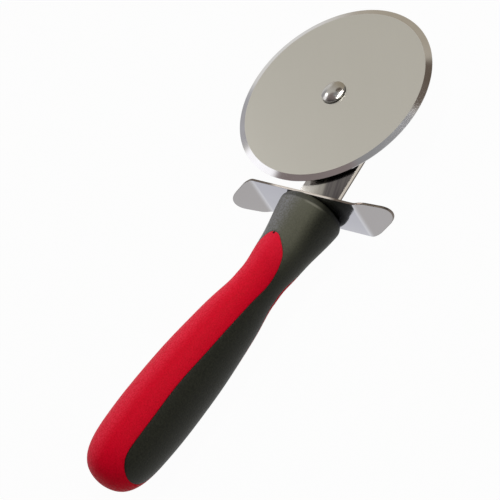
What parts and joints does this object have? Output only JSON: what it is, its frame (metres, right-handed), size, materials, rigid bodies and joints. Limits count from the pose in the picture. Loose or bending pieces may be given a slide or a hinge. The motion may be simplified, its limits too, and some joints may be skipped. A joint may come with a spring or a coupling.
{
  "type": "pizza cutter",
  "caption": "Hand pizza cutter with a bevelled steel wheel on an offset arm, a bent finger guard and a soft red and black handle.",
  "frame": {"origin": "under the middle of the cutter: halfway along its length, halfway across its width, on the surface that the handle's belly lies on", "axes": "+X along the arm from the handle to the wheel, +Z along the wheel's axle towards the rivet's domed head, +Y in the wheel's plane, to the left when looking from the handle along the arm with the domed head up"},
  "size_m": [0.2696, 0.1188, 0.0348],
  "materials": {
    "blade_steel": "fine satin, ground bevel polished",
    "bush_brass": "turned",
    "polished_steel": "polished",
    "brushed_steel": "brushed along its length",
    "guard_steel": "polished",
    "core_plastic": "moulded",
    "black_rubber": "soft matt",
    "red_rubber": "soft matt"
  },
  "bodies": {
    "root": {"arm": "brushed_steel", "finger_guard": "guard_steel", "axle_rivet": "polished_steel", "head_washer": "polished_steel", "spacer_washer": "polished_steel", "tail_washer": "polished_steel", "handle_core": "core_plastic", "black_grip": "black_rubber", "red_grip": "red_rubber"},
    "wheel": {"wheel_blade": "blade_steel", "wheel_bush": "bush_brass"}
  },
  "joints": [
    {"name": "wheel_spin", "type": "hinge", "parent": "root", "child": "wheel", "pos_m": [0.0839, 0.0086, 0.02131], "axis": [0, 0, 1], "continuous": true}
  ]
}
